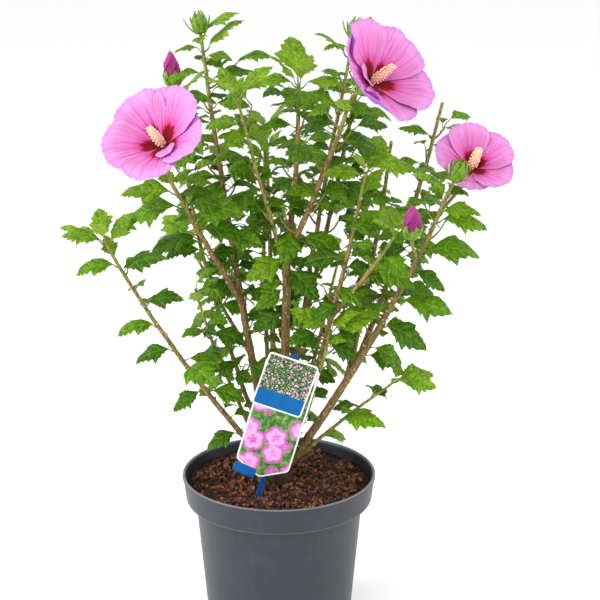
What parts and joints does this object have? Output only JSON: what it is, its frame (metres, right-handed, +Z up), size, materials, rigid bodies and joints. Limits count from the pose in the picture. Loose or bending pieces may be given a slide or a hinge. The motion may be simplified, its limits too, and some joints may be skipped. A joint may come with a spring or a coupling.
{
  "type": "potted hibiscus shrub",
  "caption": "Potted hibiscus shrub: forked upright stems with lobed toothed leaves, pink open blooms and buds, in a round tapered nursery pot filled with soil, with a push-in plant label.",
  "frame": {"origin": "centre of the pot's flat underside", "axes": "+Z up, -Y the side that the label and the blooms face, +X to the right seen from there"},
  "size_m": [0.4137, 0.3018, 0.6175],
  "materials": {
    "pot": "moulded, satin",
    "soil": "rough bark and peat crumbs",
    "bark": "smooth brown bark with pale pores",
    "leaf": "satin leaf",
    "petal": "soft petal",
    "label_card": "printed, glossy",
    "label_blue": "moulded"
  },
  "bodies": {
    "root": {"pot": "pot", "soil": "soil", "stool": "bark", "label_stake": "label_blue", "label_card": "label_card", "label_front": "label_card", "label_tab": "label_blue", "bough_far_left": "bark", "bough_left": "bark", "bough_left_bloom": "bark", "bough_thin_left": "bark", "bough_centre": "bark", "bough_centre_top": "bark", "bough_upper_bloom": "bark", "bough_centre_left": "bark", "bough_centre_right": "bark", "bough_inner_right": "bark", "bough_right": "bark", "bough_right_back": "bark", "bough_right_tall": "bark", "bough_low_right": "bark", "bough_back_bud": "bark", "bough_back_cut": "bark", "bough_back": "bark", "bough_back_left": "bark", "bough_back_middle": "bark", "bough_low_left": "bark", "bough_low_front": "bark", "bough_back_right": "bark", "bloom_left": "petal", "bloom_upper": "petal", "bloom_right": "petal", "foliage_far_left": "leaf", "foliage_left": "leaf", "foliage_left_bloom": "leaf", "foliage_thin_left": "leaf", "foliage_centre_top": "leaf", "foliage_upper_bloom": "leaf", "foliage_centre_left": "leaf", "foliage_centre_right": "leaf", "foliage_inner_right": "leaf", "foliage_right": "leaf", "foliage_right_back": "leaf", "foliage_right_tall": "leaf", "foliage_low_right": "leaf", "foliage_back_bud": "leaf", "foliage_back_cut": "leaf", "foliage_back": "leaf", "foliage_back_left": "leaf", "foliage_back_middle": "leaf", "foliage_low_left": "leaf", "foliage_low_front": "leaf", "foliage_back_right": "leaf"}
  },
  "joints": []
}
